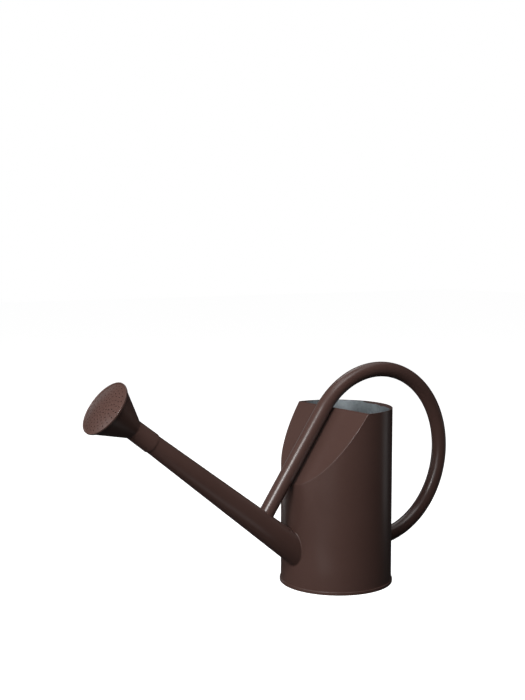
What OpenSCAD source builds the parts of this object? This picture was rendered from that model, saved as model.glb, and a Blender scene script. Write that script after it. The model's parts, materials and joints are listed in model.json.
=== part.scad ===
// Watering can in sheet and tube steel, with a pull-off rose.
// +Z is up, the spout points along -X, and y = 0 is the plane of symmetry.
// The origin is the centre of the foot, on the ground. Millimetres and degrees.

/* [Body] */
// Outside diameter of the body
body_d = 160; // [154:1:166]
// Height from the ground to the mouth
body_h = 253; // [246:1:260]
// Thickness of the sheet in the body, spout and rose
sheet = 0.8; // [0.7:0.1:1]
// Lean of the flat front panel from upright
panel_lean = 34.9; // [34:0.1:35.6]
// Distance from the body's axis to the front edge of the mouth
mouth_front = 7.8; // [6:0.1:12]
// Height of the rolled seam round the foot
seam_h = 4.6; // [4:0.1:6]
// Height of the bottom's underside above the ground
bottom_lift = 3.4; // [2:0.1:5]

/* [Spout] */
// Height at which the spout's axis leaves the body
spout_z = 59.2; // [55:0.1:65]
// Rise of the spout from level
spout_rise = 37.3; // [35:0.1:39]
// Length of the spout's axis outside the body
spout_len = 312; // [300:1:320]
// Outside diameter of the spout at the body
root_d = 40.5; // [38:0.1:43]
// Outside diameter of the spout at its tip
tip_d = 24.5; // [23:0.1:25]

/* [Handle] */
// Outside diameter of the handle's tube
tube_d = 22; // [20:0.5:22.5]
// Wall of the handle's tube
tube_wall = 1.2; // [1:0.1:2]
// Radius of the loop, to the middle of the tube
loop_r = 126.6; // [122:0.1:130]
// Distance from the body's axis back to the loop's centre
loop_x = 76.2; // [74:0.1:78]
// Height of the loop's centre
loop_z = 176; // [174:0.5:182]
// Lean of the straight leg from upright
leg_lean = 35.6; // [35.2:0.1:36.4]

/* [Rose] */
// Distance along the spout at which the sleeve begins
sleeve_at = 283; // [275:1:290]
// Length of the sleeve
sleeve_len = 34; // [32:0.5:38]
// Outside diameter of the sleeve's open end
sleeve_d = 27.9; // [27.4:0.1:29]
// Outside diameter of the cone's neck
neck_d = 27; // [26.8:0.1:28]
// Length of the cone
cone_len = 48.6; // [40:0.1:56]
// Diameter over the rose's rim
rose_d = 77; // [70:0.5:84]
// Rise of the domed face in its middle
dome_rise = 5.5; // [4:0.1:8]
// Diameter of a spray hole
hole_d = 1.8; // [1:0.1:2.2]
// Distance between the rings of holes
ring_pitch = 4.65; // [4.4:0.05:4.75]

/* [Joints] */
// Width of a weld or brazed bead
weld = 1.3; // [1:0.1:1.6]
// Gap all round between the sleeve and the spout
slip = 0.06; // [0.03:0.01:0.1]
// Thickness of the rubber washer
washer_h = 2; // [1.5:0.1:2.5]

/* [Hidden] */

$fn = 96;

COAT = "#4b3a35";
ZINC = "#8d9494";
RUBBER = "#1d1d1d";

body_r = body_d / 2;
inner_r = body_r - sheet;
tube_r = tube_d / 2;
rose_r = rose_d / 2;

seam_r = body_r + 2 * sheet;               // outside of the rolled seam
hook_h = seam_h - 2 * sheet;               // height of the shell's hook inside the seam
seam_bead = 0.35;                          // thickness of the seam's bead inside the back wall
seam_bead_w = 3;                           // width of that bead

// Outside radius of the spout at a distance s along its axis
taper = (root_d - tip_d) / 2 / spout_len;
function spout_r(s) = root_d / 2 - taper * s;
spout_start = -30;                         // the cone starts inside the body, then is cut to it

// The leg leaves the loop at leg_top, and ends on the spout's axis
leg_top = [loop_x - loop_r * cos(leg_lean), loop_z + loop_r * sin(leg_lean)];
leg_drop = (leg_top[0] + body_r) * sin(spout_rise) + (leg_top[1] - spout_z) * cos(spout_rise);
leg_len = leg_drop / cos(leg_lean - spout_rise);
loop_end = 93;                             // how far past level the loop runs on, into the body
loop_turn = 180 - leg_lean + loop_end;     // angle from the leg to that end
foot_turn = 20;                            // the last part of that angle, which holds the rear bead

sleeve_end = sleeve_at + sleeve_len;
lip = 1;                                   // thickness of the sleeve's turned-in lip
face_gap = 0.1;                            // gap on each side of the washer
washer_at = spout_len + face_gap;
lip_at = washer_at + washer_h + face_gap;
washer_bore = 9.5;                         // radius of the way through the washer and lip
rim_at = sleeve_end + cone_len;            // distance along the spout of the cone's wide end
edge_r = rose_r - sheet;                   // outside radius of the cone's wide end
rim_roll = 0.95;                           // radius of the rolled rim
skirt_h = 2.6;                             // height of the rim's folded skirt
rim_w = 1.6;                               // width of the rolled rim round the dome
dome_base = rose_r - rim_w;                // radius at which the dome meets the rim
dome_r = (dome_base * dome_base + dome_rise * dome_rise) / (2 * dome_rise);
ring_holes = [5, 11, 16, 17, 22, 25, 25];  // spray holes in each ring, from the middle out

// Moves its children to a distance s along the spout, with their +Z along it
module along_spout(s = 0) {
    translate([-body_r, 0, spout_z]) rotate([0, spout_rise - 90, 0]) translate([0, 0, s]) children();
}

// The spout's cone, made larger or smaller in radius by grow
module spout_cone(grow = 0, to = spout_len) {
    along_spout(spout_start)
        cylinder(h = to - spout_start, r1 = spout_r(spout_start) + grow, r2 = spout_r(to) + grow);
}

// A slab from depth a to depth b behind the panel's outer face, larger than the body each way
module panel_slab(a, b) {
    translate([-mouth_front, 0, body_h]) rotate([0, panel_lean, 0])
        translate([a, -body_d, -2 * body_h]) cube([b - a, 2 * body_d, 3 * body_h]);
}

// Moves its children so that the XY plane is the loop's, with its centre at the origin,
// the leg's upper end on +X, and the loop turning from there towards +Y
module loop_frame() {
    translate([loop_x, 0, loop_z]) rotate([-90, 0, 0]) rotate([0, 0, leg_lean - 180]) children();
}

// The handle's straight leg as a solid round bar
module leg_bar(r) {
    loop_frame() translate([loop_r, 0, 0]) rotate([90, 0, 0]) cylinder(h = leg_len, r = r);
}

// The last of the loop, near the body's back
module loop_foot(r) {
    loop_frame() rotate([0, 0, loop_turn - foot_turn])
        rotate_extrude(angle = foot_turn) translate([loop_r, 0]) circle(r = r);
}

// A solid round bar along the whole of the handle's middle line
module handle_bar(r) {
    loop_frame() union() {
        rotate_extrude(angle = loop_turn) translate([loop_r, 0]) circle(r = r);
        translate([loop_r, 0, 0]) rotate([90, 0, 0]) cylinder(h = leg_len, r = r);
    }
}

// Rolled sheet cylinder, cut on a slant for the panel and hooked outward at the foot
module body_shell() {
    color(COAT) difference() {
        rotate_extrude() {
            translate([inner_r, sheet]) square([sheet, body_h - sheet]);
            translate([inner_r, sheet]) square([2 * sheet, sheet]);
            translate([body_r, sheet]) square([sheet, hook_h]);
        }
        panel_slab(-2 * body_d, sheet);
        spout_cone(-sheet);
    }
}

// Flat sheet laid on the slanted cut and welded to it
module front_panel() {
    color(COAT) intersection() {
        panel_slab(0, sheet);
        cylinder(h = body_h, r = body_r);
    }
}

// Bead inside the corner between the panel and the shell
module panel_weld() {
    color(ZINC) intersection() {
        panel_slab(sheet, sheet + weld);
        difference() {
            cylinder(h = body_h - 2 * sheet, r = inner_r);
            translate([0, 0, -sheet]) cylinder(h = body_h + sheet, r = inner_r - weld);
        }
    }
}

// Weld bead up the inside of the back wall, where the rolled sheet closes
module side_seam() {
    color(ZINC) intersection() {
        difference() {
            translate([0, 0, bottom_lift + 3 * sheet]) cylinder(h = body_h - bottom_lift - 4 * sheet, r = inner_r);
            cylinder(h = body_h, r = inner_r - seam_bead);
        }
        translate([0, -seam_bead_w / 2, 0]) cube([body_r, seam_bead_w, body_h]);
    }
}

// Pressed disc, with its edge rolled round the shell's hook
module bottom_plate() {
    color(COAT) rotate_extrude() {
        translate([0, bottom_lift]) square([inner_r, sheet]);
        translate([inner_r - sheet, 0]) square([sheet, bottom_lift + sheet]);
        translate([inner_r - sheet, 0]) square([seam_r - inner_r + sheet / 2, sheet]);
        translate([seam_r - sheet, sheet / 2]) square([sheet, seam_h - sheet]);
        translate([body_r, seam_h - sheet]) square([3 * sheet / 2, sheet]);
        for (z = [sheet / 2, seam_h - sheet / 2])
            translate([seam_r - sheet / 2, z]) circle(d = sheet, $fn = 32);
    }
}

// Tapered tube, cut to the body's curve
module spout_tube() {
    color(COAT) difference() {
        spout_cone();
        along_spout(spout_start - 1)
            cylinder(h = spout_len - spout_start + 2,
                     r1 = spout_r(spout_start - 1) - sheet, r2 = spout_r(spout_len + 1) - sheet);
        cylinder(h = body_h, r = body_r);
    }
}

// Bead in the corner between the spout and the body
module spout_weld() {
    color(COAT) difference() {
        intersection() {
            spout_cone(weld, 3 * weld + root_d);
            cylinder(h = body_h / 2, r = body_r + weld);
        }
        spout_cone(0);
        cylinder(h = body_h, r = body_r);
    }
}

// Bent round tube: a loop from the body's back, over the mouth, and a straight leg to the spout
module handle_tube() {
    color(COAT) difference() {
        handle_bar(tube_r);
        handle_bar(tube_r - tube_wall);
        spout_cone();
        cylinder(h = loop_z - tube_d, r = body_r);
    }
}

// Bead round the leg's foot, on top of the spout
module handle_front_weld() {
    color(COAT) difference() {
        intersection() {
            leg_bar(tube_r + weld);
            spout_cone(weld);
        }
        leg_bar(tube_r);
        spout_cone();
    }
}

// Bead round the loop's end, on the body's back
module handle_rear_weld() {
    color(COAT) difference() {
        intersection() {
            loop_foot(tube_r + weld);
            cylinder(h = loop_z, r = body_r + weld);
        }
        loop_foot(tube_r);
        cylinder(h = body_h, r = body_r);
    }
}

// Sleeve that slides over the spout's tip, with a lip that stops the washer
module rose_sleeve() {
    bore_r = spout_r(sleeve_at) + slip;
    lip_r = spout_r(lip_at) + slip;
    end_r = spout_r(sleeve_end) + slip;
    color(COAT) along_spout() rotate_extrude() {
        polygon([[bore_r, sleeve_at], [sleeve_d / 2, sleeve_at],
                 [neck_d / 2, sleeve_end], [end_r, sleeve_end], [end_r, lip_at + lip],
                 [washer_bore, lip_at + lip], [washer_bore, lip_at], [lip_r, lip_at]]);
    }
}

// Flared cone between the sleeve and the face
module rose_cone() {
    flare = (edge_r - neck_d / 2) / cone_len;
    wall = sheet * sqrt(1 + flare * flare);
    color(COAT) along_spout() rotate_extrude()
        polygon([[neck_d / 2 - wall, sleeve_end], [neck_d / 2, sleeve_end],
                 [edge_r, rim_at], [edge_r - wall, rim_at]]);
}

// Domed face with rings of spray holes, its rim rolled over the cone's edge
module rose_plate() {
    flare = (edge_r - neck_d / 2) / cone_len;
    color(COAT) along_spout() difference() {
        rotate_extrude() {
            intersection() {
                translate([0, rim_at + dome_rise + sheet - dome_r]) difference() {
                    circle(r = dome_r, $fn = 360);
                    circle(r = dome_r - sheet, $fn = 360);
                }
                translate([0, rim_at]) square([dome_base + sheet / 2, 2 * dome_rise]);
            }
            translate([rose_r - rim_roll, rim_at + rim_roll]) circle(r = rim_roll, $fn = 32);
            translate([rose_r - 2 * rim_roll, rim_at]) square([rim_roll, rim_roll]);
            polygon([[edge_r, rim_at], [edge_r - flare * skirt_h, rim_at - skirt_h],
                     [rose_r - flare * skirt_h, rim_at - skirt_h], [rose_r, rim_at],
                     [rose_r, rim_at + rim_roll], [edge_r, rim_at + rim_roll]]);
        }
        for (k = [1 : len(ring_holes)], i = [0.5 : ring_holes[k - 1]])
            rotate([0, 0, 360 * i / ring_holes[k - 1]]) translate([ring_pitch * k, 0, rim_at - sheet])
                cylinder(h = 3 * dome_rise, d = hole_d, $fn = 24);
    }
}

// Flat rubber ring between the spout's tip and the sleeve's lip
module rose_washer() {
    color(RUBBER) along_spout(washer_at) difference() {
        cylinder(h = washer_h, r = spout_r(washer_at + washer_h));
        translate([0, 0, -1]) cylinder(h = washer_h + 2, r = washer_bore);
    }
}

body_shell();
front_panel();
panel_weld();
side_seam();
bottom_plate();
spout_tube();
spout_weld();
handle_tube();
handle_front_weld();
handle_rear_weld();
rose_sleeve();
rose_cone();
rose_plate();
rose_washer();
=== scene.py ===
import json
import math

import bmesh
import bpy
import numpy as np
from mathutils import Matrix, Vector
from mathutils.geometry import delaunay_2d_cdt


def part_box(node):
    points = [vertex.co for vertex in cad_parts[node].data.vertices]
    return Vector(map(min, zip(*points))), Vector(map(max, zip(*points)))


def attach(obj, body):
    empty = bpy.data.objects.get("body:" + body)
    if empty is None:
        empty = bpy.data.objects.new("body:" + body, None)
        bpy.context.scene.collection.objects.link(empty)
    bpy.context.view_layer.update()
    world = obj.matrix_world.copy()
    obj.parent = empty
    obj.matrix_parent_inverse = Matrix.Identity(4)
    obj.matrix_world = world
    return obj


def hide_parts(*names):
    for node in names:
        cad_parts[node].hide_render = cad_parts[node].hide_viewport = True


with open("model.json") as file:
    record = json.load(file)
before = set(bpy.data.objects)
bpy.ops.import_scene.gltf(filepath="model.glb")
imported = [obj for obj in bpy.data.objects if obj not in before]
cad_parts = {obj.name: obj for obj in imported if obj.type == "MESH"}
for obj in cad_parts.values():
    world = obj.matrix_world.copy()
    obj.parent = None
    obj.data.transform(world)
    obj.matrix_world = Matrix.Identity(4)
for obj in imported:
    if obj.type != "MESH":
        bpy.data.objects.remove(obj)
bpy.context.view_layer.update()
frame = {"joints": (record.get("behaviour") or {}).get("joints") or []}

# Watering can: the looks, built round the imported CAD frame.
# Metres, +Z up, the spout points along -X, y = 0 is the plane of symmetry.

MM = 0.001
SCENE = bpy.context.scene

# ---------------------------------------------------------------- sizes, from the frame

TWIST = next(j for j in frame["joints"] if j["name"] == "rose_twist")
SPOUT_AT = np.array(TWIST["pos_m"])              # where the spout's axis leaves the body
SPOUT_AXIS = np.array(TWIST["axis"])
SPOUT_UP = np.array([SPOUT_AXIS[2], 0, -SPOUT_AXIS[0]])
SIDE = np.array([0, 1.0, 0])

SHEET = 0.8 * MM
BODY_R = -SPOUT_AT[0]
INNER_R = BODY_R - SHEET
MOUTH_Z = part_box("body_shell")[1].z
PANEL_LEAN = math.radians(34.9)
# from the body's axis forward to the panel's outer face, at the height of the mouth
MOUTH_FRONT = SHEET / math.cos(PANEL_LEAN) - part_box("front_panel")[1].x
PANEL_NORMAL = np.array([-math.cos(PANEL_LEAN), 0, math.sin(PANEL_LEAN)])
FOOT_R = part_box("bottom_plate")[1].x
SEAM_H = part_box("bottom_plate")[1].z
BOTTOM_LIFT = 3.4 * MM
MOUTH_ROUND = 0.25 * MM                          # rounding of the mouth's bare edge
WALL_FOOT = 0.9 * MM                             # where the wall starts, inside the seam at the foot
EDGE_HOLD = 0.3 * MM                             # from an edge to the row of points that holds it
PANEL_DRESSED = 0.9 * MM                         # radius of the panel's dressed edge
PANEL_BEAD = 1.3 * MM
SIDE_BEAD, SIDE_PROUD = 1.2 * MM, 0.1 * MM       # half the width of the closing seam, and its height

SPOUT_LEN = 312 * MM
ROOT_R, TIP_R = 20.25 * MM, 12.25 * MM
SPOUT_HOLE = (-30 * MM, 12 * MM)                 # the wall is pierced over this stretch of the spout's axis
SPOUT_BEAD = 1.25 * MM
CUT_SINK = 0.15 * MM                             # how far the cut end of a tube runs into the wall

TUBE_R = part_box("handle_tube")[1].y
LOOP_R = 126.6 * MM
LOOP_AT = np.array([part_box("handle_tube")[1].x - LOOP_R - TUBE_R, 0,
                    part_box("handle_tube")[1].z - LOOP_R - TUBE_R])
LEG_LEAN = math.radians(35.6)
LEG_AT = math.pi - LEG_LEAN                      # the leg's place on the loop
LOOP_OUT = np.array([math.cos(LEG_AT), 0, math.sin(LEG_AT)])
LEG_DOWN = np.array([-math.sin(LEG_LEAN), 0, -math.cos(LEG_LEAN)])
LEG_TOP = LOOP_AT + LOOP_R * LOOP_OUT
HANDLE_BEAD = 0.8 * MM

SLEEVE_AT, SLEEVE_LEN = 283 * MM, 34 * MM
SLEEVE_R, NECK_R = 13.95 * MM, 13.5 * MM
SLIP = 0.06 * MM
CONE_LEN = 48.6 * MM
ROSE_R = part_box("rose_plate")[1].y
CONE_FLARE = (ROSE_R - SHEET - NECK_R) / CONE_LEN
DOME_RISE = 5.5 * MM
RIM_ROLL = 0.95 * MM
RIM_AT = SLEEVE_AT + SLEEVE_LEN + CONE_LEN       # the cone's front edge, along the spout
FACE_R = ROSE_R - 2 * RIM_ROLL                   # the face within its rim
HOLE_R = 0.9 * MM
DIMPLE_R = 1.75 * HOLE_R                         # the punch draws the sheet in this far out
PUNCH_DRAW = 0.06 * MM                           # how deep the punch draws the sheet in round a hole
RING_PITCH = 4.65 * MM
RING_HOLES = (5, 11, 16, 17, 22, 25, 25)         # spray holes in each ring, from the middle out
WASHER_H = 2 * MM
WASHER_BORE = 9.5 * MM

TURN = 240                                       # steps round the body
TUBE_TURN = 96                                   # steps round the spout and the handle
FACE_TURN = 192                                  # steps round the rose's face
HOLE_TURN = 16                                   # steps round each hole


# ---------------------------------------------------------------- shapes

def unit(v):
    v = np.asarray(v, float)
    return v / np.linalg.norm(v, axis=-1, keepdims=True)


def spout_r(s):
    return ROOT_R - (ROOT_R - TIP_R) * s / SPOUT_LEN


def spout_point(s, turn, r):
    """Points at distance s along the spout, at an angle turn from its upper side, r from its axis."""
    s, turn, r = np.broadcast_arrays(s, turn, r)
    out = np.multiply.outer(np.cos(turn) * r, SPOUT_UP) + np.multiply.outer(np.sin(turn) * r, SIDE)
    return SPOUT_AT + np.multiply.outer(s, SPOUT_AXIS) + out


def onto_spout(p):
    """The nearest points on the outside of the spout."""
    s = (p - SPOUT_AT) @ SPOUT_AXIS
    middle = SPOUT_AT + np.multiply.outer(s, SPOUT_AXIS)
    return middle + unit(p - middle) * spout_r(s)[..., None]


def onto_body(p, r=BODY_R):
    """The nearest points on the body's wall."""
    q = p.copy()
    q[..., :2] = unit(p[..., :2]) * r
    return q


def circle(n):
    return np.linspace(0, 2 * math.pi, n, endpoint=False)


def bend(a, corner, b, steps):
    """A smooth turn from a to b, drawn towards corner."""
    t = np.linspace(0, 1, steps + 1).reshape((-1,) + (1,) * np.ndim(a))
    return (1 - t) ** 2 * a + 2 * t * (1 - t) * corner + t ** 2 * b


def rounded(corners, closed=True, steps=4, hold=0.25 * MM):
    """An outline of (r, s, radius) corners as points, each corner turned on its radius, with a point
    held close to each turn so that the straight stretches stay flat in the shading."""
    pts = [np.array(c[:2], float) for c in corners]
    out = []
    for i, (p, c) in enumerate(zip(pts, corners)):
        radius = c[2]
        if radius == 0 or (not closed and i in (0, len(pts) - 1)):
            out.append(p)
            continue
        before, after = pts[i - 1] - p, pts[(i + 1) % len(pts)] - p
        la, lb = np.linalg.norm(before), np.linalg.norm(after)
        a, b = before / la, after / lb
        cut = min(radius, 0.45 * la, 0.45 * lb)
        if la > 2.2 * (cut + hold):
            out.append(p + a * (cut + hold))
        out.extend(bend(p + a * cut, p, p + b * cut, steps))
        if lb > 2.2 * (cut + hold):
            out.append(p + b * (cut + hold))
    return np.array(out)


def mesh_from(name, verts, faces):
    mesh = bpy.data.meshes.new(name)
    mesh.from_pydata([tuple(v) for v in verts], [], faces)
    return mesh


def piece(name, verts, faces, body, materials, **more):
    """A piece from points and faces. Points that fall together are joined."""
    mesh = mesh_from(name, verts, faces)
    bm = bmesh.new()
    bm.from_mesh(mesh)
    bmesh.ops.remove_doubles(bm, verts=bm.verts, dist=1e-6)
    bmesh.ops.recalc_face_normals(bm, faces=bm.faces)
    bm.to_mesh(mesh)
    bm.free()
    return finish_piece(name, mesh, body, materials, **more)


def finish_piece(name, mesh, body, materials, replaces=(), slot="brown_coat", sharp=40,
                 face_material=None):
    """An object that rides on a CAD body and stands for its nodes. Edges over sharp degrees stay crisp."""
    for material in materials:
        mesh.materials.append(material)
    if face_material is not None:
        for face in mesh.polygons:
            face.material_index = face_material(face)
    mesh.polygons.foreach_set("use_smooth", [True] * len(mesh.polygons))
    mesh.set_sharp_from_angle(angle=math.radians(sharp))
    obj = bpy.data.objects.new(name, mesh)
    SCENE.collection.objects.link(obj)
    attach(obj, body)
    if replaces:
        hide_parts(*replaces)
    return obj


def grid_faces(rows, cols, wrap_rows, wrap_cols=True, first=0):
    """Quads between neighbouring rows of points."""
    faces = []
    for i in range(rows if wrap_rows else rows - 1):
        for j in range(cols if wrap_cols else cols - 1):
            a, b = first + i * cols, first + (i + 1) % rows * cols
            k = (j + 1) % cols
            faces.append((a + j, a + k, b + k, b + j))
    return faces


def ring_solid(name, rows, body, materials, wrap=True, **more):
    """A closed solid from rings of points. Without wrap, its two end rings are closed by fans."""
    rows = np.asarray(rows)
    n, m = rows.shape[:2]
    verts = list(rows.reshape(-1, 3))
    faces = grid_faces(n, m, wrap)
    if not wrap:
        for ring, base in ((rows[0], 0), (rows[-1], (n - 1) * m)):
            verts.append(ring.mean(0))
            faces += [(base + j, base + (j + 1) % m, len(verts) - 1) for j in range(m)]
    return piece(name, verts, faces, body, materials, **more)


def lathe_rows(outline, turns, along_spout=False):
    """Rings of points for an outline of (radius, height), round the body's or the spout's axis."""
    r, s = outline[:, :1], outline[:, 1:]
    if along_spout:
        return spout_point(s, turns[None, :], r)
    shape = (len(outline), len(turns))
    return np.stack([r * np.cos(turns), r * np.sin(turns), np.broadcast_to(s, shape)], -1)


def fillet(name, corner, on_a, on_b, body, materials, wrap_cols=True, **more):
    """A concave bead in the corner between two surfaces, from points on a to points on b."""
    out = unit((on_a + on_b) / 2 - corner)
    drawn_to = corner + 0.12 * (on_a + on_b - 2 * corner)               # a little out of the corner
    face = bend(on_a, drawn_to, on_b, 6)
    under = 0.25 * MM                                                   # its other sides lie in the metal
    rows = np.concatenate([(on_a - out * under)[None], face, (on_b - out * under)[None],
                           (corner - out * under)[None]])
    if wrap_cols:
        return ring_solid(name, rows, body, materials, **more)
    columns = rows.transpose(1, 0, 2)
    return ring_solid(name, columns, body, materials, wrap=False, **more)


def beside(curve, normals, width):
    """Points a width to one side of a closed curve on a surface, square to the curve."""
    run = np.roll(curve, -1, 0) - np.roll(curve, 1, 0)
    return curve + unit(np.cross(unit(run), normals)) * np.reshape(width, (-1, 1))


def away_from(curve, normals, middle, width):
    """Points a width off a closed curve, along the surface with these normals, away from middle."""
    side = beside(curve, normals, width)
    other = beside(curve, normals, -width)
    nearer = np.linalg.norm(side - middle, axis=1).sum() < np.linalg.norm(other - middle, axis=1).sum()
    return other if nearer else side


def uneven(width, at, *waves):
    """A bead's width along its run. Each wave is its swing, how often it comes and where it starts."""
    return width * (1 + sum(swing * np.sin(at * often + start) for swing, often, start in waves))


# ---------------------------------------------------------------- the body

def plane_z(x, depth):
    """Height of the plane that lies depth behind the panel's outer face, at a distance x along X."""
    return MOUTH_Z + (x + MOUTH_FRONT - depth / math.cos(PANEL_LEAN)) / math.tan(PANEL_LEAN)


def build_shell(materials):
    """Rolled wall with a rounded mouth, a slanted cut under the panel and a hole for the spout."""
    corner = math.acos((SHEET / math.cos(PANEL_LEAN) - MOUTH_FRONT) / BODY_R)
    share = round(TURN * corner / math.pi)
    turns = np.concatenate([np.linspace(-corner, corner, share, endpoint=False),
                            np.linspace(corner, 2 * math.pi - corner, TURN - share, endpoint=False)])
    edge = np.where(np.abs(turns) <= corner + 1e-6, MOUTH_ROUND, 0.0)    # not rounded under the panel

    def top(r):
        return np.minimum(MOUTH_Z, plane_z(r * np.cos(turns), SHEET))

    def row(r, z):
        return np.stack([r * np.cos(turns), r * np.sin(turns), z], -1)

    def side(r, into, steps):
        """Rows up one side of the wall, and half-way over its edge. into is the way into the sheet."""
        rise = top(r) - edge - EDGE_HOLD - WALL_FOOT
        rows = [row(r, WALL_FOOT + k * rise) for k in np.linspace(0, 1, steps)]
        for t in np.linspace(0, 1, 5):
            at = r + into * edge * t * t
            rows.append(row(at, top(at) - edge * (1 - t) ** 2))
        return rows

    rows = side(BODY_R, -1, 72) + side(INNER_R, 1, 48)[::-1]
    shell = ring_solid("can_body_shell", rows, "can", [], replaces=["body_shell"])
    cutter_rows = [spout_point(s, circle(TUBE_TURN), spout_r(s) - SHEET) for s in SPOUT_HOLE]
    cutter = ring_solid("spout_hole_cutter", cutter_rows, "can", [], wrap=False)
    cut(shell, cutter)
    shell.data.materials.clear()
    for material in materials:
        shell.data.materials.append(material)
    middle = BODY_R - SHEET / 2
    for face in shell.data.polygons:
        x, y, z = face.center
        face.material_index = int(math.hypot(x, y) < middle and abs(face.normal.z) < 0.5)
    return shell


def cut(obj, cutter):
    """Takes the cutter's volume out of obj, and removes the cutter."""
    modifier = obj.modifiers.new("cut", "BOOLEAN")
    modifier.operation, modifier.solver, modifier.object = "DIFFERENCE", "EXACT", cutter
    graph = bpy.context.evaluated_depsgraph_get()
    mesh = bpy.data.meshes.new_from_object(obj.evaluated_get(graph))
    obj.modifiers.clear()
    obj.data = mesh
    obj.data.set_sharp_from_angle(angle=math.radians(40))
    bpy.data.objects.remove(cutter)


def slant(start, r, depth, steps):
    """The curve where the body's wall, at radius r, meets the plane depth behind the panel's outer face.

    It runs round the front of the body from the angle start to the same angle on the other side. The
    angles and points come with the wall's normals, and with the ways in over the panel and down the wall.
    """
    turns = np.linspace(start, 2 * math.pi - start, steps)
    c, s = np.cos(turns), np.sin(turns)
    wall = np.stack([c, s, 0 * c], -1)
    run = unit(np.stack([-s, c, -s / math.tan(PANEL_LEAN)], -1))
    curve = np.stack([r * c, r * s, plane_z(r * c, depth)], -1)
    return turns, curve, wall, unit(np.cross(PANEL_NORMAL, run)), unit(np.cross(run, wall))


def build_panel(materials):
    """Flat sheet on the slanted cut, its lower edge dressed round into the wall."""
    start = math.acos(-(MOUTH_FRONT - 3 * MM) / BODY_R)                 # above the mouth, trimmed later
    _, edge, wall, inward, down = slant(start, BODY_R, 0, 181)
    fold = np.arccos(wall @ PANEL_NORMAL)                               # between the panel and the wall
    widest = 0.95 * SHEET / np.sin(fold)                                # stays within the sheet's cut edge
    reach = np.minimum(PANEL_DRESSED * np.tan(fold / 2), widest)[:, None]
    turn = bend(edge + inward * reach, edge, onto_body(edge + down * reach), 5)
    flat = edge + inward * (reach + EDGE_HOLD)
    back = slant(start, BODY_R, SHEET, 181)[1]

    rows = np.concatenate([flat[None], turn, back[None]])
    n, m = rows.shape[:2]
    faces = grid_faces(n, m, wrap_rows=False, wrap_cols=False)
    faces += [tuple(range(m)), tuple((n - 1) * m + j for j in reversed(range(m)))]
    faces += [tuple(i * m for i in range(n)), tuple(i * m + m - 1 for i in reversed(range(n)))]
    mesh = mesh_from("can_front_panel", rows.reshape(-1, 3), faces)
    trim_at_mouth(mesh)

    def inside(face):
        return int(Vector(face.normal).dot(Vector(PANEL_NORMAL)) < -0.9)

    return finish_piece("can_front_panel", mesh, "can", materials, ["front_panel"], face_material=inside)


def trim_at_mouth(mesh):
    """Takes off what stands above the mouth, and closes the cut."""
    bm = bmesh.new()
    bm.from_mesh(mesh)
    everything = bm.verts[:] + bm.edges[:] + bm.faces[:]
    made = bmesh.ops.bisect_plane(bm, geom=everything, dist=1e-7, plane_co=(0, 0, MOUTH_Z),
                                  plane_no=(0, 0, 1), clear_outer=True)
    rim = [e for e in made["geom_cut"] if isinstance(e, bmesh.types.BMEdge)]
    bmesh.ops.edgeloop_fill(bm, edges=rim)
    bmesh.ops.recalc_face_normals(bm, faces=bm.faces)
    bm.to_mesh(mesh)
    bm.free()


def build_bottom(materials):
    """Pressed disc with a stiffening ring, and the seam that rolls its edge over the wall's foot."""
    up, over = BOTTOM_LIFT, BOTTOM_LIFT + SHEET
    press = 0.8 * MM                                                    # depth of the stiffening ring
    ring_in, ring_out = 48 * MM, 54 * MM
    slope = 1.5 * MM
    soft, rolled = 0.8 * MM, 0.7 * MM                                   # radii of pressed and rolled turns
    wall_in = INNER_R - SHEET
    slot, slot_z = BODY_R - SHEET / 2, 1.2 * MM                         # the seam's slot for the wall
    outline = rounded([
        (0, up, 0), (ring_in - slope, up, soft), (ring_in, up - press, soft),
        (ring_out, up - press, soft), (ring_out + slope, up, soft),
        (wall_in, up, soft), (wall_in, 0, 0.5 * MM), (FOOT_R, 0, rolled), (FOOT_R, SEAM_H, rolled),
        (slot, SEAM_H, 0), (slot, slot_z, 0), (INNER_R, slot_z, 0), (INNER_R, over, 0.6 * MM),
        (ring_out + slope, over, soft), (ring_out, over - press, soft),
        (ring_in, over - press, soft), (ring_in - slope, over, soft), (0, over, 0)])
    rows = lathe_rows(outline, circle(TURN))

    def inside(face):
        x, y, z = face.center
        return int(math.hypot(x, y) < INNER_R and face.normal.z > 0.3)

    return ring_solid("can_bottom_plate", rows, "can", materials, replaces=["bottom_plate"],
                      face_material=inside)


def build_panel_bead(material):
    """The bead in the corner behind the panel."""
    start = math.acos(-(MOUTH_FRONT - SHEET) / INNER_R) + 0.02          # just below the mouth
    turns, corner, _, inward, down = slant(start, INNER_R, SHEET, 161)
    width = uneven(PANEL_BEAD, turns, (0.06, 61, 0), (0.05, 97, 1))[:, None]
    on_wall = onto_body(corner + down * width, INNER_R)
    fillet("can_panel_weld", corner, corner + inward * width, on_wall, "can", [material],
           wrap_cols=False, replaces=["panel_weld"], slot="zinc")


def build_side_seam(material):
    """The body's closing seam: a low ground bead up the inside of its back."""
    z = np.linspace(BOTTOM_LIFT + 2 * MM, MOUTH_Z - 1.5 * MM, 240)
    half = uneven(SIDE_BEAD, z / MM, (0.05, 2.1, 0), (0.05, 0.83, 0))
    rooted, behind = INNER_R + 0.1 * MM, INNER_R + 0.3 * MM              # both lie within the wall
    across = np.linspace(-1, 1, 9)
    x = rooted - (SIDE_PROUD + 0.1 * MM) * (1 - across ** 2)
    rings = []
    for w, h in zip(half, z):
        front = np.stack([x, across * w, np.full(9, h)], -1)
        back = np.array([[behind, w, h], [behind, -w, h]])
        rings.append(np.concatenate([front, back]))
    ring_solid("can_side_seam", rings, "can", [material], wrap=False, replaces=["side_seam"], slot="zinc")


# ---------------------------------------------------------------- the spout and the handle

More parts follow.
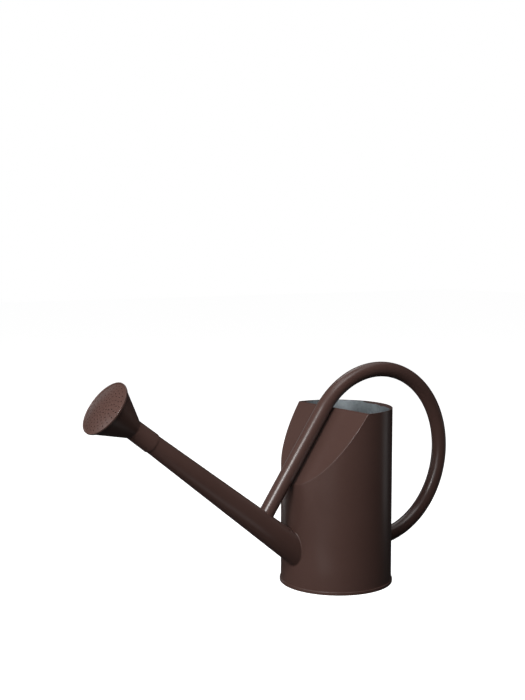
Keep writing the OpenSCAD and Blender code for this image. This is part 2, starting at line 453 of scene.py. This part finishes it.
def root_distance(turn, r_at):
    """Distance along the spout at which a line of its cone meets the body's wall."""
    s = np.zeros_like(turn)
    for _ in range(30):
        r = r_at(s)
        x = -np.sqrt(BODY_R ** 2 - (r * np.sin(turn)) ** 2)
        s = (SPOUT_AT[0] + r * np.cos(turn) * SPOUT_UP[0] - x) / -SPOUT_AXIS[0]
    return s


def build_spout(material):
    """The tapered tube, its root cut to the body's wall and its tip dressed round."""
    turn = circle(TUBE_TURN)
    outer = root_distance(turn, spout_r) - CUT_SINK
    inner = root_distance(turn, lambda s: spout_r(s) - SHEET) - CUT_SINK
    rows = []
    for k in np.linspace(0, 1, 60):
        s = outer + k * (SPOUT_LEN - 0.3 * MM - outer)
        rows.append(spout_point(s, turn, spout_r(s)))
    soft = 0.2 * MM
    lip = rounded([
        (TIP_R, SPOUT_LEN - 0.25 * MM, 0), (TIP_R, SPOUT_LEN, soft),
        (TIP_R - SHEET, SPOUT_LEN, soft), (TIP_R - SHEET, SPOUT_LEN - 0.3 * MM, 0)], closed=False)
    rows += list(lathe_rows(lip, turn, along_spout=True))
    for k in np.linspace(1, 0, 30):
        s = inner + k * (SPOUT_LEN - 1 * MM - inner)
        rows.append(spout_point(s, turn, spout_r(s) - SHEET))
    ring_solid("can_spout_tube", rows, "can", [material], replaces=["spout_tube"])


def build_spout_bead(material):
    turn = circle(TUBE_TURN)
    s = root_distance(turn, spout_r)
    corner = onto_body(spout_point(s, turn, spout_r(s)))
    width = uneven(SPOUT_BEAD, turn, (0.04, 23, 0), (0.04, 37, 2))
    on_spout = spout_point(s + width, turn, spout_r(s + width))
    wall = unit(corner * np.array([1, 1, 0]))
    on_wall = onto_body(away_from(corner, wall, SPOUT_AT, width))
    fillet("can_spout_weld", corner, on_spout, on_wall, "can", [material], replaces=["spout_weld"])


def leg_section(turn):
    """The tube's outline round the middle of the leg."""
    return TUBE_R * (np.outer(np.cos(turn), LOOP_OUT) + np.outer(np.sin(turn), SIDE))


def leg_foot(turn):
    """How far down the leg each of its lines meets the spout."""
    foot = np.full(len(turn), 150 * MM)
    for _ in range(40):
        p = LEG_TOP + leg_section(turn) + foot[:, None] * LEG_DOWN
        s = (p - SPOUT_AT) @ SPOUT_AXIS
        off = np.linalg.norm(p - SPOUT_AT - np.outer(s, SPOUT_AXIS), axis=1)
        foot += off - spout_r(s)
    return foot


def loop_point(at, turn):
    """Points on the loop's tube, at an angle at round the loop and an angle turn round the tube."""
    r = LOOP_R + TUBE_R * np.cos(turn)
    return LOOP_AT + np.stack([r * np.cos(at), TUBE_R * np.sin(turn), r * np.sin(at)], -1)


def loop_end(turn, sink):
    """The angle round the loop at which each of its lines is sunk this far into the body's back."""
    wall = np.sqrt(BODY_R ** 2 - (TUBE_R * np.sin(turn)) ** 2)
    return -np.arccos((wall - sink - LOOP_AT[0]) / (LOOP_R + TUBE_R * np.cos(turn)))


def build_handle(material):
    """One bent tube: the straight leg from the spout, then the loop over the mouth and down to the back."""
    turn = circle(TUBE_TURN)
    length = (leg_foot(turn) + CUT_SINK)[:, None]
    rows = [LEG_TOP + leg_section(turn) + k * length * LEG_DOWN for k in np.linspace(1, 0, 40)]
    end = loop_end(turn, CUT_SINK)
    rows += [loop_point(LEG_AT + k * (end - LEG_AT), turn) for k in np.linspace(0, 1, 181)[1:]]
    ring_solid("can_handle_tube", rows, "can", [material], wrap=False, replaces=["handle_tube"])


def build_handle_beads(material):
    """The beads where the leg meets the spout, and where the loop meets the body's back."""
    turn = circle(TUBE_TURN)
    width = uneven(HANDLE_BEAD, turn, (0.05, 17, 0), (0.04, 29, 1))

    foot = leg_foot(turn)
    corner = LEG_TOP + leg_section(turn) + foot[:, None] * LEG_DOWN
    s = (corner - SPOUT_AT) @ SPOUT_AXIS
    normals = unit(corner - SPOUT_AT - np.outer(s, SPOUT_AXIS))
    on_leg = corner - LEG_DOWN * width[:, None]
    on_spout = onto_spout(away_from(corner, normals, LEG_TOP + LEG_DOWN * foot.mean(), width))
    fillet("can_handle_front_weld", corner, on_leg, on_spout, "can", [material],
           replaces=["handle_front_weld"])

    end = loop_end(turn, 0)
    corner = loop_point(end, turn)
    on_loop = loop_point(end + width / LOOP_R, turn)
    normals = unit(corner * np.array([1, 1, 0]))
    on_wall = onto_body(away_from(corner, normals, corner.mean(0), width))
    fillet("can_handle_rear_weld", corner, on_loop, on_wall, "can", [material],
           replaces=["handle_rear_weld"])


# ---------------------------------------------------------------- the rose

def build_sleeve(material):
    """The push-fit sleeve, with a lip inside it that bears on the washer."""
    end = SLEEVE_AT + SLEEVE_LEN
    lip_at = SPOUT_LEN + WASHER_H + 0.2 * MM
    lip = 1 * MM

    def bore(s):
        return spout_r(s) + SLIP

    outline = rounded([
        (bore(SLEEVE_AT), SLEEVE_AT, 0.15 * MM), (SLEEVE_R, SLEEVE_AT, 0.35 * MM), (NECK_R, end, 0),
        (bore(end), end, 0), (bore(end), lip_at + lip, 0.3 * MM), (WASHER_BORE, lip_at + lip, 0.3 * MM),
        (WASHER_BORE, lip_at, 0.3 * MM), (bore(lip_at), lip_at, 0.1 * MM)])
    rows = lathe_rows(outline, circle(TUBE_TURN), along_spout=True)
    ring_solid("rose_sleeve_tube", rows, "rose", [material], replaces=["rose_sleeve"])


def build_cone(material):
    start = SLEEVE_AT + SLEEVE_LEN
    wall = SHEET * math.hypot(1, CONE_FLARE)
    edge = ROSE_R - SHEET
    steps = np.linspace(0, 1, 13)
    outer = [(NECK_R + k * (edge - NECK_R), start + k * CONE_LEN, 0) for k in steps]
    inner = [(r - wall, s, 0) for r, s, _ in reversed(outer)]
    rows = lathe_rows(rounded(outer + inner), circle(144), along_spout=True)
    ring_solid("rose_cone_shell", rows, "rose", [material], replaces=["rose_cone"])


def dome(r):
    """Distance along the spout of the face's outer side, at a distance r from the axis."""
    ball = (FACE_R ** 2 + DOME_RISE ** 2) / (2 * DOME_RISE)
    return RIM_AT + SHEET + DOME_RISE - ball + np.sqrt(ball ** 2 - r ** 2)


def on_circle(centre, r, turn):
    return centre + r * np.stack([np.cos(turn), np.sin(turn)], -1)


def hole_centres():
    rings = [((k + 1) * RING_PITCH, 2 * math.pi * (i + 0.5) / n)
             for k, n in enumerate(RING_HOLES) for i in range(n)]
    return np.array([[r * math.cos(t), r * math.sin(t)] for r, t in rings])


def face_net(centres):
    """The face seen square on: its points, and the triangles between them that leave the holes open."""
    points = list(on_circle(0, FACE_R, circle(FACE_TURN)))              # the face's edge comes first
    edges = [(i, (i + 1) % FACE_TURN) for i in range(FACE_TURN)]
    turn = circle(HOLE_TURN)
    for centre in centres:
        first = len(points)
        edges += [(first + i, first + (i + 1) % HOLE_TURN) for i in range(HOLE_TURN)]
        for r in (HOLE_R, 1.35 * HOLE_R, DIMPLE_R):
            points.extend(on_circle(centre, r, turn))
    step = 1.6 * MM                                                     # between the points that fill it
    for k in range(int(FACE_R / step)):
        for t in circle(max(6 * k, 1)):
            p = k * step * np.array([math.cos(t), math.sin(t)])
            clear = np.min(np.linalg.norm(centres - p, axis=1)) > 2.3 * HOLE_R
            if clear and k * step < FACE_R - 0.8 * MM:
                points.append(p)

    flat = [Vector(p / MM) for p in points]
    out, _, triangles, _, _, _ = delaunay_2d_cdt(flat, edges, [], 0, 1e-5)
    xy = np.array([tuple(v) for v in out]) * MM
    kept = []
    for triangle in triangles:
        c = xy[list(triangle)].mean(0)
        if np.min(np.linalg.norm(centres - c, axis=1)) > HOLE_R * 0.98 and np.linalg.norm(c) < FACE_R:
            kept.append(tuple(triangle))
    return xy, kept


def rim_outline():
    """The rim, rolled from the face's edge round the cone's edge, and a little way back up the cone."""
    edge = ROSE_R - SHEET
    fold = 2.6 * MM
    back = RIM_AT - fold
    front = RIM_AT + 2 * RIM_ROLL
    return rounded([
        (FACE_R, float(dome(FACE_R)), 0), (FACE_R + 0.05 * MM, RIM_AT + 0.9 * MM, 0),
        (FACE_R + 0.5 * MM, front, 0.5 * MM), (ROSE_R, front, 1.2 * MM),
        (ROSE_R, RIM_AT - 0.2 * MM, 0.4 * MM), (ROSE_R - CONE_FLARE * fold, back, 0.35 * MM),
        (edge - CONE_FLARE * fold, back, 0.2 * MM), (edge, RIM_AT, 0.2 * MM),
        (edge - 0.6 * MM, RIM_AT + 0.1 * MM, 0), (FACE_R, float(dome(FACE_R)) - SHEET, 0)], closed=False)


def build_plate(material):
    """Domed face with rings of punched holes, and its rim rolled over the cone's edge."""
    centres = hole_centres()
    xy, kept = face_net(centres)
    r = np.linalg.norm(xy, axis=1)
    t = np.arctan2(xy[:, 1], xy[:, 0])
    near = np.min(np.linalg.norm(centres[None] - xy[:, None], axis=2), axis=1)
    drawn = PUNCH_DRAW * np.clip((DIMPLE_R - near) / (DIMPLE_R - HOLE_R), 0, 1) ** 1.5
    s = dome(np.minimum(r, FACE_R)) - drawn
    top, under = spout_point(s, t, r), spout_point(s - SHEET, t, r)

    n = len(xy)
    faces = kept + [tuple(n + i for i in reversed(triangle)) for triangle in kept]
    used = {(a, b): True for triangle in kept for a, b in zip(triangle, triangle[1:] + triangle[:1])}
    hole_edges = [(a, b) for a, b in used if (b, a) not in used and r[a] < FACE_R - 0.1 * MM]
    faces += [(b, a, n + a, n + b) for a, b in hole_edges]

    rim = rim_outline()
    ring = lathe_rows(rim, circle(FACE_TURN), along_spout=True)
    faces += grid_faces(len(rim), FACE_TURN, wrap_rows=False, first=2 * n)
    verts = list(top) + list(under) + list(ring.reshape(-1, 3))
    return piece("rose_face_plate", verts, faces, "rose", [material], replaces=["rose_plate"], sharp=35)


def build_washer(material):
    start = SPOUT_LEN + 0.1 * MM
    end = start + WASHER_H
    outer = spout_r(end)
    soft = 0.35 * MM
    corners = [(WASHER_BORE, start), (outer, start), (outer, end), (WASHER_BORE, end)]
    outline = rounded([(r, s, soft) for r, s in corners])
    rows = lathe_rows(outline, circle(TUBE_TURN), along_spout=True)
    ring_solid("rose_washer_ring", rows, "washer", [material], replaces=["rose_washer"], slot="rubber")


# ---------------------------------------------------------------- materials

class Nodes:
    """Builds one material's nodes, with a short call for each kind of node."""

    def __init__(self, name):
        self.material = bpy.data.materials.new(name)
        self.material.use_nodes = True
        self.tree = self.material.node_tree
        self.shader = self.tree.nodes["Principled BSDF"]
        self.place = self.node("ShaderNodeTexCoord").outputs["Object"]

    def node(self, kind, **settings):
        made = self.tree.nodes.new(kind)
        for key, value in settings.items():
            setattr(made, key, value)
        return made

    def link(self, source, target):
        if hasattr(source, "is_output"):
            self.tree.links.new(source, target)
        else:
            target.default_value = source

    def noise(self, scale, detail):
        """Smooth noise with this many waves to a metre, and this many finer layers over it."""
        made = self.node("ShaderNodeTexNoise")
        made.inputs["Scale"].default_value = scale
        made.inputs["Detail"].default_value = detail
        self.link(self.place, made.inputs["Vector"])
        return made.outputs["Fac"]

    def cells(self, scale):
        """Cells with this many to a metre, split into three values that differ from cell to cell."""
        made = self.node("ShaderNodeTexVoronoi", feature="F1")
        made.inputs["Scale"].default_value = scale
        self.link(self.place, made.inputs["Vector"])
        split = self.node("ShaderNodeSeparateColor")
        self.link(made.outputs["Color"], split.inputs[0])
        return split.outputs

    def ramp(self, value, low, high, to_low=0.0, to_high=1.0):
        """Takes low to to_low and high to to_high, with an easy start and end."""
        made = self.node("ShaderNodeMapRange", interpolation_type="SMOOTHSTEP")
        for key, number in (("From Min", low), ("From Max", high), ("To Min", to_low), ("To Max", to_high)):
            self.link(number, made.inputs[key])
        self.link(value, made.inputs["Value"])
        return made.outputs[0]

    def math(self, operation, a, b):
        made = self.node("ShaderNodeMath", operation=operation)
        self.link(a, made.inputs[0])
        self.link(b, made.inputs[1])
        return made.outputs[0]

    def mix(self, share, a, b):
        """Colour a where share is 0, and colour b where it is 1."""
        made = self.node("ShaderNodeMix", data_type="RGBA")
        self.link(share, made.inputs["Factor"])
        for colour, name in ((a, "A"), (b, "B")):
            socket = next(i for i in made.inputs if i.name == name and i.type == "RGBA")
            self.link(colour, socket)
        return next(o for o in made.outputs if o.type == "RGBA")

    def bump(self, height, distance, strength):
        made = self.node("ShaderNodeBump")
        made.inputs["Distance"].default_value = distance
        made.inputs["Strength"].default_value = strength
        self.link(height, made.inputs["Height"])
        return made.outputs["Normal"]

    def set(self, **values):
        """Puts values on the shader's sockets, and gives the material."""
        for key, value in values.items():
            self.link(value, self.shader.inputs[key.replace("_", " ")])
        return self.material


BROWN = (0.074, 0.0395, 0.0325, 1)
BROWN_WORN = (0.085, 0.0465, 0.039, 1)
COAT_ROUGHNESS = (0.28, 0.31)                    # a narrow range, so that highlights keep smooth edges
ZINC = (0.27, 0.305, 0.325, 1)
ZINC_LIGHT = (0.52, 0.57, 0.60, 1)
ZINC_METAL = 0.8
SPANGLE = 260                                    # zinc crystals to a metre
SPRAY_WAY = (0.82, -0.57)                        # the side of the mouth where the overspray is widest
SPRAY_BAND = (0.4 * MM, 4.5 * MM)                # its depth on the other side, and on that one
SPRAY_WANDER = 2.6 * MM                          # how far down its blotches reach
SPRAY_SOFT = 0.8 * MM                            # half the width of its soft edge
RUBBER = (0.010, 0.010, 0.011, 1)
RUBBER_DUSTY = (0.026, 0.026, 0.027, 1)


def coat_colour(n):
    """The brown powder coat's colour, a little uneven over a hand's width and in its fine grain."""
    broad = n.ramp(n.noise(9, 3), 0.35, 0.65, 0, 0.45)
    grain = n.ramp(n.noise(1500, 2), 0.35, 0.7, 0, 0.35)
    return n.mix(n.math("ADD", broad, grain), BROWN, BROWN_WORN)


def coat_bump(n):
    """The sheet's slight unevenness, over a hand's width."""
    return n.bump(n.noise(14, 1), 0.6 * MM, 0.35)


def brown_coat():
    n = Nodes("brown_coat_satin")
    roughness = n.ramp(n.noise(18, 2), 0.25, 0.75, *COAT_ROUGHNESS)
    return n.set(Base_Color=coat_colour(n), Roughness=roughness, Normal=coat_bump(n))


def zinc_colour(n):
    """Hot-dipped zinc: leaf-like crystals of slightly different brightness, with a dull bloom over them."""
    leaves = n.ramp(n.noise(900, 3), 0.3, 0.7, -0.1, 0.1)
    share = n.math("ADD", n.ramp(n.cells(SPANGLE)[0], 0, 1, 0.2, 0.4), leaves)
    bloom = n.ramp(n.noise(30, 4), 0.3, 0.7, -0.2, 0.2)
    return n.mix(n.math("ADD", share, bloom), ZINC, ZINC_LIGHT)


def zinc_roughness(n):
    return n.ramp(n.cells(SPANGLE)[1], 0, 1, 0.42, 0.52)


def zinc_bump(n):
    """The zinc's slight waves, about a finger's width across."""
    return n.bump(n.noise(60, 2), 0.2 * MM, 0.4)


def zinc():
    n = Nodes("zinc_spangle")
    return n.set(Base_Color=zinc_colour(n), Roughness=zinc_roughness(n), Metallic=ZINC_METAL,
                 Normal=zinc_bump(n))


def zinc_inside():
    """Bare zinc with a band of brown overspray inside the mouth, wider on one side, its edge blotchy."""
    n = Nodes("zinc_oversprayed")
    place = n.node("ShaderNodeSeparateXYZ")
    n.link(n.place, place.inputs[0])
    towards = n.math("ADD", n.math("MULTIPLY", place.outputs["X"], SPRAY_WAY[0]),
                     n.math("MULTIPLY", place.outputs["Y"], SPRAY_WAY[1]))
    band = n.ramp(towards, 0.5 * INNER_R, INNER_R, *SPRAY_BAND)
    wander = n.math("MULTIPLY", n.ramp(n.noise(45, 4), 0.35, 0.7), SPRAY_WANDER)
    depth = n.math("SUBTRACT", MOUTH_Z, place.outputs["Z"])
    beyond = n.math("SUBTRACT", depth, n.math("ADD", band, wander))
    bare = n.ramp(beyond, -SPRAY_SOFT, SPRAY_SOFT)
    colour = n.mix(bare, BROWN, zinc_colour(n))
    metal = n.math("MULTIPLY", bare, ZINC_METAL)
    return n.set(Base_Color=colour, Roughness=zinc_roughness(n), Metallic=metal, Normal=zinc_bump(n))


def rubber():
    n = Nodes("rubber_black")
    colour = n.mix(n.ramp(n.noise(900, 3), 0.3, 0.7), RUBBER, RUBBER_DUSTY)
    roughness = n.ramp(n.noise(400, 2), 0.3, 0.7, 0.55, 0.75)
    return n.set(Base_Color=colour, Roughness=roughness, Normal=n.bump(n.noise(1400, 2), 0.04 * MM, 0.6))


def build_all():
    brown, bare, inside, seal = brown_coat(), zinc(), zinc_inside(), rubber()
    build_shell([brown, inside])
    build_panel([brown, inside])
    build_bottom([brown, bare])
    build_panel_bead(inside)
    build_side_seam(inside)
    build_spout(brown)
    build_spout_bead(brown)
    build_handle(brown)
    build_handle_beads(brown)
    build_sleeve(brown)
    build_cone(brown)
    build_plate(brown)
    build_washer(seal)


# ---------------------------------------------------------------- studio

CAMERA_AT = (-1.026, -1.270, 0.4835)
CAMERA_TURN = (84.79, 0, -35.19)                 # degrees
CAMERA_LENS, CAMERA_SENSOR = 58.81, 36           # millimetres
FLOOR_HALF = 8
ROOM_GREY = (0.022, 0.022, 0.022, 1)
WHITE = (1, 1, 1, 1)

# Soft boxes aimed at the middle of the can: name, azimuth and elevation in degrees, distance, width and
# height in metres, and radiance. Azimuth 0 is on the -Y side, and 90 on the -X side.
CAN_MIDDLE = (0, 0, 0.15)
SOFT_BOXES = (
    ("key", 51, 36, 1.3, 0.20, 0.22, 13),
    ("key_left", 64, 36, 1.3, 0.24, 0.32, 33),
    ("front_side", 50, 12, 2.0, 0.9, 0.9, 1.2),
    ("side", 72, 18, 2.0, 1.6, 1.1, 1.9),
    ("side_far", 105, 15, 2.0, 1.2, 1.1, 2.4),
    ("top", 90, 84, 1.5, 0.5, 0.5, 2),
    ("top_front", 0, 66, 1.5, 0.75, 0.5, 3.5),
    ("top_right", -60, 66, 1.5, 0.6, 0.5, 0.9),
    ("back", -125, 55, 2.0, 1.2, 1.0, 0.7),
    ("back_fill", -160, 50, 2.2, 0.8, 0.5, 3),
    ("back_left", 182, 12, 2.0, 1.2, 1.2, 0.25),
    ("right_card", -78, -6, 1.6, 0.45, 0.48, 0.42),
    ("left_card", 174, -4, 1.6, 0.28, 0.52, 1.4),
)
# the light that comes back up from the table, under the spout
TABLE_AIM = (-0.21, -0.105, 0.2)
TABLE_BOX = ("table", 0, -90, 0.19, 0.18, 0.08, 0.35, TABLE_AIM)


def add_camera():
    data = bpy.data.cameras.new("camera")
    data.sensor_width = CAMERA_SENSOR
    data.lens = CAMERA_LENS
    camera = bpy.data.objects.new("camera", data)
    camera.location = CAMERA_AT
    camera.rotation_euler = [math.radians(a) for a in CAMERA_TURN]
    SCENE.collection.objects.link(camera)
    SCENE.camera = camera


def add_floor():
    """A glowing white floor. It doesn't light the can, show in its coat or stand in the lights' way."""
    corners = [(-1, -1), (1, -1), (1, 1), (-1, 1)]
    mesh = mesh_from("floor", [(x * FLOOR_HALF, y * FLOOR_HALF, 0) for x, y in corners], [(0, 1, 2, 3)])
    floor = bpy.data.objects.new("floor", mesh)
    n = Nodes("floor_white")
    mesh.materials.append(n.set(Base_Color=(0.8, 0.8, 0.8, 1), Roughness=0.9, Emission_Color=WHITE,
                                Emission_Strength=0.97))
    SCENE.collection.objects.link(floor)
    floor.visible_glossy = False
    floor.visible_diffuse = False
    floor.visible_shadow = False


def add_light(name, azimuth, elevation, distance, width, height, radiance, aim=CAN_MIDDLE):
    data = bpy.data.lights.new(name, "AREA")
    data.shape, data.size, data.size_y = "RECTANGLE", width, height
    data.energy = radiance * math.pi * width * height
    light = bpy.data.objects.new(name, data)
    a, e = math.radians(azimuth), math.radians(elevation)
    away = Vector((-math.sin(a) * math.cos(e), -math.cos(a) * math.cos(e), math.sin(e)))
    light.location = Vector(aim) + distance * away
    light.rotation_euler = away.to_track_quat("Z", "Y").to_euler()
    light.visible_camera = False
    SCENE.collection.objects.link(light)


def add_world():
    """White to the camera, and a dim grey room to everything else."""
    world = bpy.data.worlds.new("studio")
    world.use_nodes = True
    SCENE.world = world
    tree = world.node_tree
    room = tree.nodes["Background"]
    room.inputs["Color"].default_value = ROOM_GREY
    white = tree.nodes.new("ShaderNodeBackground")
    path = tree.nodes.new("ShaderNodeLightPath")
    mix = tree.nodes.new("ShaderNodeMixShader")
    white.inputs["Color"].default_value = WHITE
    tree.links.new(path.outputs["Is Camera Ray"], mix.inputs[0])
    tree.links.new(room.outputs[0], mix.inputs[1])
    tree.links.new(white.outputs[0], mix.inputs[2])
    tree.links.new(mix.outputs[0], tree.nodes["World Output"].inputs["Surface"])


def add_studio():
    SCENE.view_settings.view_transform = "Standard"
    add_camera()
    add_floor()
    add_world()
    for box in (*SOFT_BOXES, TABLE_BOX):
        add_light(*box)


build_all()
add_studio()
